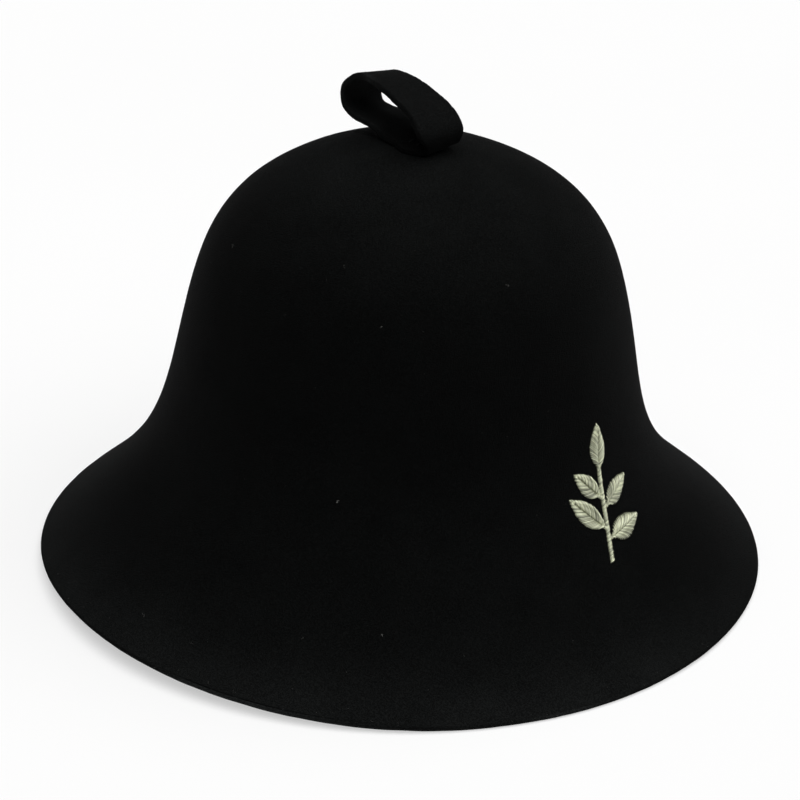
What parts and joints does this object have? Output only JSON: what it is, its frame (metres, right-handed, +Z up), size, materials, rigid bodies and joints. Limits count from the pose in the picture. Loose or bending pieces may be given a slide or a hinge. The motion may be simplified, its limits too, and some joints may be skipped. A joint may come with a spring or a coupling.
{
  "type": "sauna hat",
  "caption": "Bell-shaped sauna hat moulded in thick black wool felt, with a flared brim, a felt hanging loop on the crown and a stitched leaf sprig at the front.",
  "frame": {"origin": "middle of the brim's footprint, on the plane that the brim rests on", "axes": "+Z up through the crown, -Y towards the front with the stitched sprig, +X to the wearer's left"},
  "size_m": [0.3206, 0.3192, 0.2135],
  "materials": {
    "black_wool_felt": "matt moulded wool felt with a short nap",
    "black_felt_strap": "matt wool felt with cut edges",
    "pale_sage_thread": "satin-stitched embroidery thread"
  },
  "bodies": {
    "root": {"felt_body": "black_wool_felt", "hanging_loop": "black_felt_strap", "embroidered_sprig": "pale_sage_thread"}
  },
  "joints": []
}
